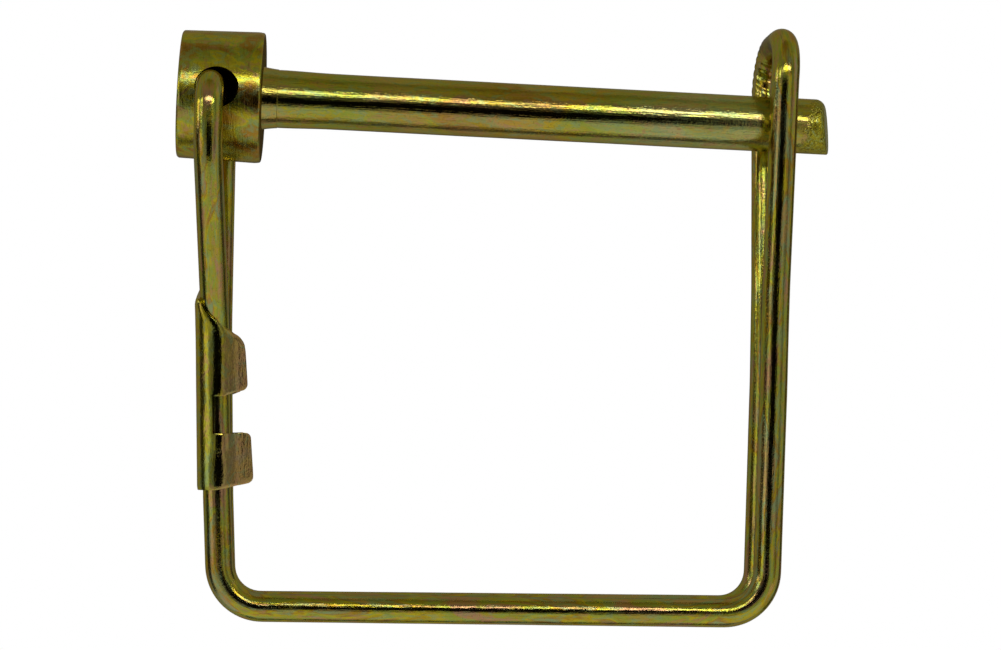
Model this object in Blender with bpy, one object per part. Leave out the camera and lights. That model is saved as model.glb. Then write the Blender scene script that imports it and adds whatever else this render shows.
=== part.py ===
"""Square two-strand wire lock pin: a headed pin, a spring-wire bail and a sheet keeper.

Row frame, in metres: the origin is on the pin's axis at the head's shoulder face,
+X runs along the shank to its tip, +Z is up and +Y is the far side. The bail hangs below
the shank in its closed position, with its arch above the tip.
"""

import math

import bmesh
import bpy
from mathutils import Matrix, Vector

MM = 0.001

# pin
SHANK_D = 7.94 * MM
SHANK_L = 81.42 * MM
HEAD_L = 11.75 * MM
HEAD_R_END = 9.03 * MM
HEAD_R_SHOULDER = 9.28 * MM
HEAD_EDGE_R = 0.45 * MM
HEAD_CHAMFER = 0.3 * MM
HEAD_BEVEL_L = 0.9 * MM
HEAD_BEVEL_H = 0.07 * MM
HEAD_LEAN_SIDE = 0.03
HEAD_LEAN_UP = 0.012
ROOT_R = 4.45 * MM
ROOT_L = 2.1 * MM
NECK_R = 4.12 * MM
NECK_END_X = 10.0 * MM
CROSS_HOLE_D = 5.6 * MM
HOLE_MOUTH_D = 6.2 * MM
HOLE_MOUTH_DEPTH = 0.75 * MM
HOLE_FLOOR_Y = 1.5 * MM
CROSS_HOLE_X = -6.1 * MM
TIP_EDGE_TOP = 1.35 * MM
TIP_EDGE_BOTTOM = 0.35 * MM
TIP_LEAN_SIDE = 0.3
TIP_LEAN_DOWN = 0.08

# bail wire
WIRE_D = 3.97 * MM
WIRE_END_GAP = 4.4 * MM
HINGE_X = -6.55 * MM
HINGE_Z = 0.2 * MM
HEAD_SPREAD = 12.9 * MM
PAIR_SPREAD = 2.75 * MM
ARCH_SPREAD = 7.35 * MM
ARCH_TOP_Z = 11.66 * MM
EYE_SKEW = 0.45 * MM
EYE_BEND_R = 3.4 * MM
CORNER_BEND_R = 6.1 * MM
ARCH_BEND_R = 5.6 * MM
FAR_CORNER_BEND_R = 5.6 * MM
FAR_ARCH_BEND_R = 5.0 * MM
EASE_BEND_R = 14.0 * MM

# keeper clip
SHEET_T = 0.5 * MM
GAP = 0.3 * MM
FLANK_START_DEG = 30.0
CREASE_X = 2.7 * MM
LIP_TOE_IN_DEG = 14.0
NOTCH_DEG = -8.0
FAR_LIP_SHORTER = 0.9 * MM
LEG_LEAN = 0.0557

PIN_SIDES = 64
WIRE_SIDES = 20
HOLE_SIDES = 40


def clear_scene():
    for thing in list(bpy.data.objects):
        bpy.data.objects.remove(thing)


def plated(name, colour):
    material = bpy.data.materials.new(name)
    material.use_nodes = True
    shader = material.node_tree.nodes["Principled BSDF"]
    shader.inputs["Base Color"].default_value = (*colour, 1.0)
    shader.inputs["Metallic"].default_value = 1.0
    shader.inputs["Roughness"].default_value = 0.28
    return material


def node_from_bmesh(name, shape, material):
    bmesh.ops.recalc_face_normals(shape, faces=shape.faces)
    mesh = bpy.data.meshes.new(name)
    shape.to_mesh(mesh)
    shape.free()
    mesh.materials.append(material)
    thing = bpy.data.objects.new(name, mesh)
    bpy.context.scene.collection.objects.link(thing)
    return thing


def skin_rings(shape, rings, closed_ends=True):
    """Join rings of vertices, each with the same count, into a closed skin."""
    rows = [[shape.verts.new(point) for point in ring] for ring in rings]
    count = len(rows[0])
    for low, high in zip(rows, rows[1:]):
        for i in range(count):
            j = (i + 1) % count
            shape.faces.new((low[i], low[j], high[j], high[i]))
    if closed_ends:
        shape.faces.new(list(reversed(rows[0])))
        shape.faces.new(rows[-1])


def arc_steps(start_deg, end_deg, steps):
    return [math.radians(start_deg + (end_deg - start_deg) * i / steps) for i in range(steps + 1)]


def pin_profile():
    """(x, radius) stations from the head's outer end to the start of the plain shank."""
    stations = []
    edge_x = -HEAD_L + HEAD_EDGE_R
    edge_r = HEAD_R_END - HEAD_EDGE_R
    for angle in arc_steps(0.0, 90.0, 4):
        stations.append((edge_x - HEAD_EDGE_R * math.cos(angle), edge_r + HEAD_EDGE_R * math.sin(angle)))
    face_r = HEAD_R_SHOULDER - HEAD_BEVEL_H
    stations.append((-HEAD_BEVEL_L, HEAD_R_SHOULDER))
    stations.append((-HEAD_CHAMFER, face_r))
    stations.append((0.0, face_r - HEAD_CHAMFER))
    stations.append((0.0, ROOT_R))
    stations.append((ROOT_L * 0.45, ROOT_R - (ROOT_R - NECK_R) * 0.62))
    stations.append((ROOT_L, NECK_R))
    stations.append((NECK_END_X, SHANK_D / 2))
    return stations


def tip_point(angle, turn):
    """A point of the cropped tip: its rounded edge is widest at the top and its face is askew."""
    edge = TIP_EDGE_BOTTOM + (TIP_EDGE_TOP - TIP_EDGE_BOTTOM) * (0.5 + 0.5 * math.cos(angle))
    radius = SHANK_D / 2 - edge * (1.0 - math.cos(turn))
    y = radius * math.sin(angle)
    z = radius * math.cos(angle)
    x = SHANK_L - edge * (1.0 - math.sin(turn)) + TIP_LEAN_SIDE * y - TIP_LEAN_DOWN * z
    return (x, y, z)


def hole_rings(side):
    """Rings of the blind cross hole drilled from one side: drill point, bore, eased mouth."""
    stations = [
        (HOLE_FLOOR_Y - 0.7 * MM, 0.25 * MM),
        (HOLE_FLOOR_Y + 0.7 * MM, CROSS_HOLE_D / 2),
        (HEAD_R_SHOULDER - HOLE_MOUTH_DEPTH, CROSS_HOLE_D / 2),
        (HEAD_R_SHOULDER, HOLE_MOUTH_D / 2),
        (1.5 * HEAD_R_SHOULDER, HOLE_MOUTH_D / 2),
    ]
    rings = []
    for depth, radius in stations:
        ring = []
        for i in range(HOLE_SIDES):
            angle = 2 * math.pi * i / HOLE_SIDES
            ring.append((CROSS_HOLE_X + radius * math.cos(angle), side * depth, radius * math.sin(angle)))
        rings.append(ring)
    return rings


def make_pin(material):
    shape = bmesh.new()
    rings = []
    angles = [2 * math.pi * i / PIN_SIDES for i in range(PIN_SIDES)]
    for x, radius in pin_profile():
        ring = []
        for angle in angles:
            y = radius * math.sin(angle)
            z = radius * math.cos(angle)
            lean = HEAD_LEAN_UP * z - HEAD_LEAN_SIDE * y if x < -HEAD_L / 2 else 0.0
            ring.append((x + lean, y, z))
        rings.append(ring)
    for turn in arc_steps(0.0, 90.0, 4):
        rings.append([tip_point(angle, turn) for angle in angles])
    skin_rings(shape, rings)
    pin = node_from_bmesh("pin", shape, material)

    cutter_shape = bmesh.new()
    for side in (-1.0, 1.0):
        skin_rings(cutter_shape, hole_rings(side))
    cutter = node_from_bmesh("cross_hole_cutter", cutter_shape, material)
    cutter.hide_render = True
    cutter.display_type = "WIRE"
    cut = pin.modifiers.new("cross_hole", "BOOLEAN")
    cut.operation = "DIFFERENCE"
    cut.solver = "EXACT"
    cut.object = cutter
    return pin


def leg_x(z):
    """Middle of the head-side strands at height z: they lean towards the tip as they go down."""
    return -6.87 * MM - LEG_LEAN * z


def skewed(point):
    """The bail sits slightly askew in the cross hole, which shifts its far strand towards the tip."""
    fade = min(1.0, max(0.0, (point.z + 52.0 * MM) / (44.0 * MM)))
    if point.x > 0.0:
        fade = 0.0
    side = point.y / HEAD_SPREAD
    return Vector((point.x + EYE_SKEW / 2 * fade * max(-1.0, min(1.0, 2 * side)), point.y, point.z))


def strand(corner_bend, arch_bend):
    """Corner points (x, y, z) of the near strand and the bend radius at each, hole to arch top."""
    parallel_z = -32.8 * MM
    clip_end_z = -57.0 * MM
    return [
        ((HINGE_X, -WIRE_END_GAP / 2, HINGE_Z), 0.0),
        ((HINGE_X, -HEAD_SPREAD, HINGE_Z), EYE_BEND_R),
        ((leg_x(-8.4 * MM), -HEAD_SPREAD, -8.4 * MM), EASE_BEND_R),
        ((leg_x(parallel_z), -PAIR_SPREAD - 0.1 * MM, parallel_z), 13.0 * MM),
        ((leg_x(clip_end_z), -PAIR_SPREAD, clip_end_z), EASE_BEND_R),
        ((-2.55 * MM, -2.15 * MM, -72.1 * MM), corner_bend),
        ((74.38 * MM, -3.5 * MM, -70.27 * MM), corner_bend),
        ((74.25 * MM, -3.75 * MM, -38.0 * MM), 60.0 * MM),
        ((74.05 * MM, -4.1 * MM, -24.0 * MM), 60.0 * MM),
        ((73.62 * MM, -ARCH_SPREAD + 0.05 * MM, 5.6 * MM), 5.0 * MM),
        ((73.85 * MM, -ARCH_SPREAD, ARCH_TOP_Z), arch_bend),
        ((73.85 * MM, 0.0, ARCH_TOP_Z), 0.0),
    ]


def rounded(corners, degrees_per_step=9.0):
    """Follow straight lines between the corners and turn each corner on an arc of its radius."""
    places = [Vector(place) for place, _ in corners]
    path = [places[0]]
    for i in range(1, len(places) - 1):
        back = (places[i - 1] - places[i]).normalized()
        ahead = (places[i + 1] - places[i]).normalized()
        turn = math.pi - back.angle(ahead)
        radius = corners[i][1]
        if turn < 1e-6 or radius == 0.0:
            path.append(places[i])
            continue
        reach = radius * math.tan(turn / 2)
        middle = (back + ahead).normalized()
        centre = places[i] + middle * (radius / math.cos(turn / 2))
        first = places[i] + back * reach - centre
        last = places[i] + ahead * reach - centre
        steps = max(2, math.ceil(math.degrees(turn) / degrees_per_step))
        for k in range(steps + 1):
            part = k / steps
            near = math.sin((1 - part) * turn) / math.sin(turn)
            far = math.sin(part * turn) / math.sin(turn)
            path.append(centre + first * near + last * far)
    path.append(places[-1])
    return path


def mirrored(point):
    return Vector((point.x, -point.y, point.z))


def bail_path():
    near = rounded(strand(CORNER_BEND_R, ARCH_BEND_R))
    far = [mirrored(point) for point in reversed(rounded(strand(FAR_CORNER_BEND_R, FAR_ARCH_BEND_R))[:-1])]
    return [skewed(point) for point in near[:-1] + far]


def make_wire(material):
    path = bail_path()
    shape = bmesh.new()
    rings = []
    ways = []
    for i in range(len(path)):
        before = path[max(i - 1, 0)]
        after = path[min(i + 1, len(path) - 1)]
        ways.append((after - before).normalized())
    side = Vector((0.0, 0.0, 1.0))
    for i, (point, way) in enumerate(zip(path, ways)):
        side = (side - way * side.dot(way)).normalized()
        other = way.cross(side)
        stretch = 1.0
        if 0 < i < len(path) - 1:
            bend = (path[i] - path[i - 1]).angle(path[i + 1] - path[i])
            stretch = 1.0 / math.cos(bend / 2)
            fold = (path[i + 1] - path[i]).normalized() - (path[i] - path[i - 1]).normalized()
        ring = []
        for k in range(WIRE_SIDES):
            angle = 2 * math.pi * k / WIRE_SIDES
            offset = (side * math.cos(angle) + other * math.sin(angle)) * (WIRE_D / 2)
            if stretch > 1.0 and fold.length > 1e-9:
                across = fold.normalized()
                offset += across * offset.dot(across) * (stretch - 1.0)
            ring.append(point + offset)
        rings.append(ring)
    skin_rings(shape, rings)
    return node_from_bmesh("bail_wire", shape, material)


def strand_at(z):
    """Half the distance between the head-side strands at height z, and how much they lean there."""
    near = rounded(strand(CORNER_BEND_R, ARCH_BEND_R))
    for above, below in zip(near, near[1:]):
        if above.z >= z >= below.z and above.z > below.z and above.x < 0:
            part = (above.z - z) / (above.z - below.z)
            lean = (above - below).length / (above.z - below.z)
            return -(above.y + (below.y - above.y) * part), lean
    return PAIR_SPREAD, 1.0


def lip_reach(z):
    return 4.05 * MM + 0.05 * (-34.7 * MM - z)


def clip_steps():
    """Stations along the bent strip from the near lips' ends, round the web, to the far lips' ends."""
    flange = [("lip", reach) for reach in (1.0, 0.8, 0.4)]
    flange += [("flank", part) for part in (1.0, 0.5)]
    angles = (30.0, 18.0, 5.0, NOTCH_DEG, -24.0, -40.0, -56.0, -73.0, -90.0)
    flange += [("wrap", degrees) for degrees in angles]
    steps = [("near", kind, value) for kind, value in flange]
    steps += [("near", "web", 0.33), ("far", "web", 0.33)]
    steps += [("far", kind, value) for kind, value in reversed(flange)]
    return steps


def strip_middle(step, z):
    """(across, depth) of the middle of the sheet at one station, across from the strands' middle.

    From the web the strip goes round the wire, leaves it along a straight flank, and ends in a
    lip that is opened a little at the crease but still leans in towards the other flange.
    """
    side, kind, value = step
    spread, lean = strand_at(z)
    radius = WIRE_D / 2 + GAP + SHEET_T / 2
    start = math.radians(FLANK_START_DEG)
    flank_x = radius * math.sin(start)
    flank_y = spread + radius * lean * math.cos(start)
    crease_y = flank_y - (CREASE_X - flank_x) * math.tan(start)
    if kind == "web":
        across = -radius
        depth = spread * (1.0 - 2.0 * value)
    elif kind == "wrap":
        angle = math.radians(value)
        across = radius * math.sin(angle)
        depth = spread + radius * lean * math.cos(angle)
    elif kind == "flank":
        across = flank_x + (CREASE_X - flank_x) * value
        depth = flank_y + (crease_y - flank_y) * value
    else:
        reach = lip_reach(z) - (FAR_LIP_SHORTER if side == "far" else 0.0)
        across = CREASE_X + (reach - CREASE_X) * value
        depth = crease_y - (across - CREASE_X) * math.tan(math.radians(LIP_TOE_IN_DEG))
    return across, (-depth if side == "near" else depth)


def between_knots(value, knots):
    """Straight-line reading of a curve given by a few (value, height in mm) knots."""
    for (low, low_z), (high, high_z) in zip(knots, knots[1:]):
        if value <= high:
            return (low_z + (high_z - low_z) * (value - low) / (high - low)) * MM
    return knots[-1][1] * MM


NEAR_TOP = ((-90.0, -28.9), (-62.0, -29.1), (-44.0, -29.95), (-27.0, -31.15), (0.0, -32.0), (30.0, -32.9))
FAR_TOP = ((-90.0, -26.9), (-60.0, -28.2), (-20.0, -31.4), (30.0, -33.9))


def top_edge(step):
    """Height of the slanted upper edge at one station."""
    side, kind, value = step
    if kind == "web":
        return (-28.25 if side == "near" else -27.55) * MM
    if kind == "wrap":
        return between_knots(value, NEAR_TOP if side == "near" else FAR_TOP)
    start = -32.9 if side == "near" else -33.9
    if kind == "flank":
        return (start - 0.95 * value) * MM
    return (start - 0.95 - 1.1 * value) * MM - (0.45 * MM if value == 1.0 else 0.0)


def bottom_edge(step):
    kind, value = step[1:]
    if kind == "wrap":
        return (-55.65 + 0.25 * max(0.0, value) / FLANK_START_DEG) * MM
    if kind == "flank":
        return (-55.4 + 0.25 * value) * MM
    if kind == "lip":
        return (-55.15 + 0.45 * value) * MM + (0.3 * MM if value == 1.0 else 0.0)
    return -55.65 * MM


def notch_top(step):
    kind, value = step[1:]
    if kind == "lip":
        return (-42.1 + 0.3 * value) * MM + (0.4 * MM if value == 1.0 else 0.0)
    if kind == "flank":
        return (-42.6 + 0.5 * value) * MM
    return -42.65 * MM


def notch_bottom(step):
    kind, value = step[1:]
    if kind == "lip":
        return (-47.85 + 0.1 * value) * MM - (0.35 * MM if value == 1.0 else 0.0)
    return -47.85 * MM


def clip_rows(step):
    """Heights of the sheet's stations from the lower edge, past the notch, to the upper edge."""
    low, high = notch_bottom(step), notch_top(step)
    bottom, top = bottom_edge(step), top_edge(step)
    rows = [bottom, (bottom + low) / 2, low, (low + high) / 2, high]
    return rows + [high + (top - high) * part for part in (0.3, 0.55, 0.8, 1.0)]


def in_notch(step, row):
    kind, value = step[1:]
    cut = kind in ("lip", "flank") or (kind == "wrap" and value > NOTCH_DEG)
    return cut and row in (2, 3)


def sheet_point(steps, index, z, offset):
    """A point offset from the middle of the sheet, square to it in the plane across the strands."""
    here = strip_middle(steps[index], z)
    before = strip_middle(steps[max(index - 1, 0)], z)
    after = strip_middle(steps[min(index + 1, len(steps) - 1)], z)
    along = Vector((after[0] - before[0], after[1] - before[1])).normalized()
    across = here[0] - along.y * offset
    depth = here[1] + along.x * offset
    return Vector((leg_x(z) + across, depth, z + LEG_LEAN * across))


def make_clip(material):
    steps = clip_steps()
    shape = bmesh.new()
    heights = [clip_rows(step) for step in steps]
    faces = []
    for offset in (-SHEET_T / 2, SHEET_T / 2):
        grid = []
        for index in range(len(steps)):
            grid.append([shape.verts.new(sheet_point(steps, index, z, offset)) for z in heights[index]])
        faces.append(grid)
    inner, outer = faces
    rows = len(heights[0])
    cells = []
    for i in range(len(steps) - 1):
        for j in range(rows - 1):
            notched = in_notch(steps[i], j) or in_notch(steps[i + 1], j)
            if not notched:
                cells.append((i, j))
    used = {}
    for i, j in cells:
        ring = [(i, j), (i + 1, j), (i + 1, j + 1), (i, j + 1)]
        shape.faces.new([outer[a][b] for a, b in ring])
        shape.faces.new([inner[a][b] for a, b in reversed(ring)])
        for start, end in zip(ring, ring[1:] + ring[:1]):
            used[(start, end)] = True
    for start, end in used:
        if (end, start) not in used:
            shape.faces.new([
                outer[end[0]][end[1]],
                outer[start[0]][start[1]],
                inner[start[0]][start[1]],
                inner[end[0]][end[1]],
            ])
    loose = [vert for vert in shape.verts if not vert.link_faces]
    bmesh.ops.delete(shape, geom=loose, context="VERTS")
    return node_from_bmesh("keeper_clip", shape, material)


def hang_on(pivot, thing):
    """Give a moving piece its origin on the pivot's axis and make the pivot its parent."""
    thing.data.transform(Matrix.Translation(-pivot.location))
    thing.parent = pivot


def main():
    clear_scene()
    make_pin(plated("pin_plating", (0.62, 0.55, 0.22)))
    pivot = bpy.data.objects.new("bail_pivot", None)
    pivot.location = (HINGE_X, 0.0, HINGE_Z)
    bpy.context.scene.collection.objects.link(pivot)
    hang_on(pivot, make_wire(plated("bail_plating", (0.58, 0.54, 0.20))))
    hang_on(pivot, make_clip(plated("clip_plating", (0.60, 0.52, 0.20))))


main()
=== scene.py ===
"""Square two-strand wire lock pin: the fine visual surfaces, materials, light and camera."""

import math

import bmesh
import bpy
from mathutils import Matrix, Vector, noise


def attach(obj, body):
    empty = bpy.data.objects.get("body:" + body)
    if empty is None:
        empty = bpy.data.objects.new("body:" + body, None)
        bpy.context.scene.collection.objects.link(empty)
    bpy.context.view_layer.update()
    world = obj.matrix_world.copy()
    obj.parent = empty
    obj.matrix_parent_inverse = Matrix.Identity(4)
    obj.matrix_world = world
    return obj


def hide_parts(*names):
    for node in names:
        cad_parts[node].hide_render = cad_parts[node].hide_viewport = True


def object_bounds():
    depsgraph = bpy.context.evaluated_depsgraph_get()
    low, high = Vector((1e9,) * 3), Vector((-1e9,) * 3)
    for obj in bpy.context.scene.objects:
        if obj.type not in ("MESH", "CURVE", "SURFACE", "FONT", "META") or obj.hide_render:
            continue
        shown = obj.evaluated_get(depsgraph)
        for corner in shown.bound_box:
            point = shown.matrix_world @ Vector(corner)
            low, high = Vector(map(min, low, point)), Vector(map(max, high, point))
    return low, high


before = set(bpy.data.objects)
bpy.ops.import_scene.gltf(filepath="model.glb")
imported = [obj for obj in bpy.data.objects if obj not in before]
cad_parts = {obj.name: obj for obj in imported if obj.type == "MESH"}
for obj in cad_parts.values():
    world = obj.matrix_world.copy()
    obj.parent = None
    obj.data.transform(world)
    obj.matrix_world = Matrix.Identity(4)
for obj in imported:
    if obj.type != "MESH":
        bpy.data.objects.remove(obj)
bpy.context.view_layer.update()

MM = 0.001

# pin
SHANK_D = 7.94 * MM
SHANK_L = 81.42 * MM
HEAD_L = 11.75 * MM
HEAD_R_END = 9.03 * MM
HEAD_R_SHOULDER = 9.28 * MM
HEAD_EDGE_R = 0.45 * MM
HEAD_CHAMFER = 0.3 * MM
HEAD_BEVEL_L = 0.9 * MM
HEAD_BEVEL_H = 0.07 * MM
HEAD_LEAN_SIDE = 0.03
HEAD_LEAN_UP = 0.012
ROOT_R = 4.45 * MM
ROOT_L = 2.1 * MM
ROOT_STEP = 0.05 * MM
NECK_R = 4.12 * MM
NECK_END_X = 10.0 * MM
CROSS_HOLE_D = 5.6 * MM
HOLE_MOUTH_D = 6.2 * MM
HOLE_MOUTH_DEPTH = 0.75 * MM
HOLE_FLOOR_Y = 1.5 * MM
HOLE_CONE_H = 0.7 * MM
HOLE_POINT_R = 0.25 * MM
CROSS_HOLE_X = -6.1 * MM
TIP_ZONE_L = 4.5 * MM
TIP_EDGE_TOP = 1.35 * MM
TIP_EDGE_BOTTOM = 0.35 * MM
TIP_LEAN_SIDE = 0.3
TIP_LEAN_DOWN = 0.08
TORN_RIDGE = 0.06 * MM
TORN_HOLLOW = 0.05 * MM
BLANK_WAVE = 0.018 * MM
PIN_SHARP_DEG = 34.0

# bail wire
WIRE_D = 3.97 * MM
WIRE_R = WIRE_D / 2
WIRE_INSET = 0.02 * MM
WIRE_WAVE = 0.016 * MM
WIRE_END_PARTS = (0.25, 0.75, 0.93)
WIRE_END_GAP = 4.4 * MM
WIRE_SHARP_DEG = 50.0
HINGE_X = -6.55 * MM
HINGE_Z = 0.2 * MM
HEAD_SPREAD = 12.9 * MM
PAIR_SPREAD = 2.75 * MM
PARALLEL_SPREAD = 2.85 * MM
ARCH_SPREAD = 7.35 * MM
EYE_FOOT_Z = -8.4 * MM
PARALLEL_Z = -32.8 * MM
CLIP_END_Z = -57.0 * MM
ARCH_TOP_Z = 11.66 * MM
LEG_X = -6.87 * MM
LEG_LEAN = 0.0557
EYE_SKEW = 0.45 * MM
EYE_SKEW_END_Z = -52.0 * MM
EYE_SKEW_FADE = 44.0 * MM
EYE_BEND_R = 3.4 * MM
PARALLEL_BEND_R = 13.0 * MM
EASE_BEND_R = 14.0 * MM
CORNER_BEND_R = 6.1 * MM
ARCH_LEG_BEND_R = 60.0 * MM
ARCH_SHOULDER_BEND_R = 5.0 * MM
ARCH_BEND_R = 5.6 * MM
FAR_CORNER_BEND_R = 5.6 * MM
FAR_ARCH_BEND_R = 5.0 * MM

# marks of the bending tool, on the far shoulder of the arch
MARKS_FROM_X = 60.0 * MM
MARKS_FROM_Y = 3.2 * MM
MARKS_LOW_Z = 3.2 * MM
MARKS_HIGH_Z = 13.4 * MM
MARKS_FADE = 1.2 * MM
MARK_PITCH = 1.15 * MM
MARK_DEPTH = 0.11 * MM
MARK_WAY = Vector((0.15, -0.6, 0.8))

# keeper clip
SHEET_T = 0.5 * MM
SHEET_WAVE_X = 0.012 * MM
SHEET_WAVE_Y = 0.02 * MM
GAP = 0.3 * MM
WRAP_R = WIRE_R + GAP + SHEET_T / 2
WORN_EDGE = 0.19 * MM
FLANK_START_DEG = 30.0
CREASE_X = 2.7 * MM
CREASE_LIP_PART = 0.26
CREASE_FLANK_PART = 0.66
LIP_REACH = 4.05 * MM
LIP_REACH_Z = -34.7 * MM
LIP_REACH_SLOPE = 0.05
LIP_TOE_IN_DEG = 20.0
LIP_CORNER_R = 0.8 * MM
FAR_LIP_SHORTER = 0.9 * MM
NOTCH_DEG = -8.0
NOTCH_TOP_Z = -42.65 * MM
NOTCH_BOTTOM_Z = -47.85 * MM
CLIP_BOTTOM_Z = -55.65 * MM
BOTTOM_RISE = 0.25 * MM

# studio
WALL_Y = -0.3
CARD_Y = -0.15
LAMP_Y = WALL_Y + 0.004
LAMP_Z = 0.122
LAMP_TALL = 0.05
FLOOR_R = 0.45
FLOOR_DROP = 0.075
CAMERA_PLACE = Vector((13.528, -297.898, -42.849)) * MM
CAMERA_YAW_DEG = 4.16
CAMERA_PITCH_DEG = 2.312
CAMERA_ROLL_DEG = 2.376
CAMERA_LENS = 75.165
CAMERA_SENSOR = 36.0

# fineness of the visual surfaces
PIN_SIDES = 160
WIRE_SIDES = 40
WIRE_STEP = 0.3 * MM
HOLE_SIDES = 96


# ---------------- shapes


def mesh_object(name, shape, materials):
    """Turn a bmesh into an object in the scene."""
    mesh = bpy.data.meshes.new(name)
    shape.to_mesh(mesh)
    shape.free()
    for material in materials:
        mesh.materials.append(material)
    made = bpy.data.objects.new(name, mesh)
    bpy.context.scene.collection.objects.link(made)
    return made


def object_from(name, shape, materials, body, *nodes):
    """Turn a bmesh into a smooth shaded piece that rides on a body and stands for CAD nodes."""
    bmesh.ops.recalc_face_normals(shape, faces=shape.faces)
    piece = mesh_object(name, shape, materials)
    piece.data.shade_smooth()
    if body:
        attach(piece, body)
    if nodes:
        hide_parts(*nodes)
    return piece


def sew(shape, rows):
    """Join rings of vertices, each with the same count, by bands of faces, and cap both ends."""
    count = len(rows[0])
    for low, high in zip(rows, rows[1:]):
        for i in range(count):
            j = (i + 1) % count
            shape.faces.new((low[i], low[j], high[j], high[i]))
    return shape.faces.new(list(reversed(rows[0]))), shape.faces.new(rows[-1])


def skin(shape, rings):
    """Wrap rings of points in one closed skin."""
    sew(shape, [[shape.verts.new(point) for point in ring] for ring in rings])


def between(low, high, steps):
    return [low + (high - low) * i / steps for i in range(steps + 1)]


def arc_steps(start_deg, end_deg, steps):
    return [math.radians(degrees) for degrees in between(start_deg, end_deg, steps)]


def turns(count):
    """Angles spread evenly round a circle."""
    return [2 * math.pi * i / count for i in range(count)]


def clamped(value, low=0.0, high=1.0):
    return max(low, min(high, value))


# ---------------- pin


def head_profile():
    """(x, radius) stations of the barrel head, from its outer face to the foot of the shoulder."""
    stations = [(-HEAD_L, HEAD_R_END * part) for part in (0.15, 0.4, 0.65, 0.85)]
    edge_x = -HEAD_L + HEAD_EDGE_R
    edge_r = HEAD_R_END - HEAD_EDGE_R
    for angle in arc_steps(0.0, 90.0, 8):
        stations.append((edge_x - HEAD_EDGE_R * math.cos(angle), edge_r + HEAD_EDGE_R * math.sin(angle)))
    for part in between(0.0, 1.0, 30)[1:]:
        x = edge_x + (-HEAD_BEVEL_L - edge_x) * part
        stations.append((x, HEAD_R_END + (HEAD_R_SHOULDER - HEAD_R_END) * part))
    face_r = HEAD_R_SHOULDER - HEAD_BEVEL_H
    stations.append((-HEAD_BEVEL_L * 0.62, face_r + HEAD_BEVEL_H * 0.6))
    stations.append((-HEAD_CHAMFER, face_r))
    for angle in arc_steps(0.0, 90.0, 5)[1:]:
        x = -HEAD_CHAMFER * (1 - math.sin(angle))
        stations.append((x, face_r - HEAD_CHAMFER * (1 - math.cos(angle))))
    for part in (0.8, 0.55, 0.3, 0.12, 0.0):
        stations.append((0.0, ROOT_R + (face_r - HEAD_CHAMFER - ROOT_R) * part))
    return stations


def root_profile():
    """(x, radius) stations of the flared root, the crisp line at its foot and the neck after it."""
    stations = []
    foot_r = NECK_R + ROOT_STEP
    for part in between(0.0, 1.0, 8)[1:]:
        stations.append((ROOT_L * part, foot_r + (ROOT_R - foot_r) * (1.0 - part) ** 1.25))
    stations.append((ROOT_L + 0.06 * MM, NECK_R - 0.02 * MM))
    stations.append((ROOT_L + 0.3 * MM, NECK_R))
    for part in between(0.0, 1.0, 16)[1:]:
        ease = part * part * (3.0 - 2.0 * part)
        x = ROOT_L + (NECK_END_X - ROOT_L) * part
        stations.append((x, NECK_R + (SHANK_D / 2 - NECK_R) * ease))
    return stations


def shank_profile():
    """(x, radius) stations of the straight shank, up to the start of the cropped tip."""
    length = SHANK_L - TIP_ZONE_L - NECK_END_X
    return [(NECK_END_X + length * part, SHANK_D / 2) for part in between(0.0, 1.0, 90)[1:]]


def blank_point(x, radius, angle):
    """The blank is not perfectly round: it carries faint long waves from rolling and heading."""
    wave = BLANK_WAVE * noise.noise(Vector((x * 90.0, math.cos(angle) * 0.9, math.sin(angle) * 0.9)))
    y = (radius + wave) * math.sin(angle)
    z = (radius + wave) * math.cos(angle)
    # The head's outer face is not quite square to the axis.
    share = clamped((-x - 0.4 * HEAD_L) / (0.5 * HEAD_L))
    return x + share * (HEAD_LEAN_UP * z - HEAD_LEAN_SIDE * y), y, z


def tip_point(angle, turn):
    """A point on the tip's rounded rim; the cropped face leans, and its upper edge is rounder."""
    edge = TIP_EDGE_BOTTOM + (TIP_EDGE_TOP - TIP_EDGE_BOTTOM) * (0.5 + 0.5 * math.cos(angle))
    radius = SHANK_D / 2 - edge * (1.0 - math.cos(turn))
    y = radius * math.sin(angle)
    z = radius * math.cos(angle)
    x = SHANK_L - edge * (1.0 - math.sin(turn)) + TIP_LEAN_SIDE * y - TIP_LEAN_DOWN * z
    return Vector((x, y, z))


def torn_point(place):
    """A point of the cropped face, moved in or out where the blade tore the metal."""
    torn = noise.noise(Vector((place.y, place.z * 0.4, 0.0)) * 1500.0)
    return place + Vector((TORN_RIDGE * torn - TORN_HOLLOW, 0.0, 0.0))


def pin_rings():
    """Rings round the pin's axis, from the head's outer face to the middle of the cropped face."""
    angles = turns(PIN_SIDES)
    profile = head_profile() + root_profile() + shank_profile()
    rings = [[blank_point(x, radius, angle) for angle in angles] for x, radius in profile]
    for turn in arc_steps(0.0, 90.0, 12):
        rings.append([tip_point(angle, turn) for angle in angles])
    rim = rings[-1]
    middle = sum(rim, Vector()) / len(rim)
    for part in (0.9, 0.75, 0.6, 0.45, 0.3, 0.15):
        rings.append([torn_point(middle + (point - middle) * part) for point in rim])
    return rings


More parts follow.
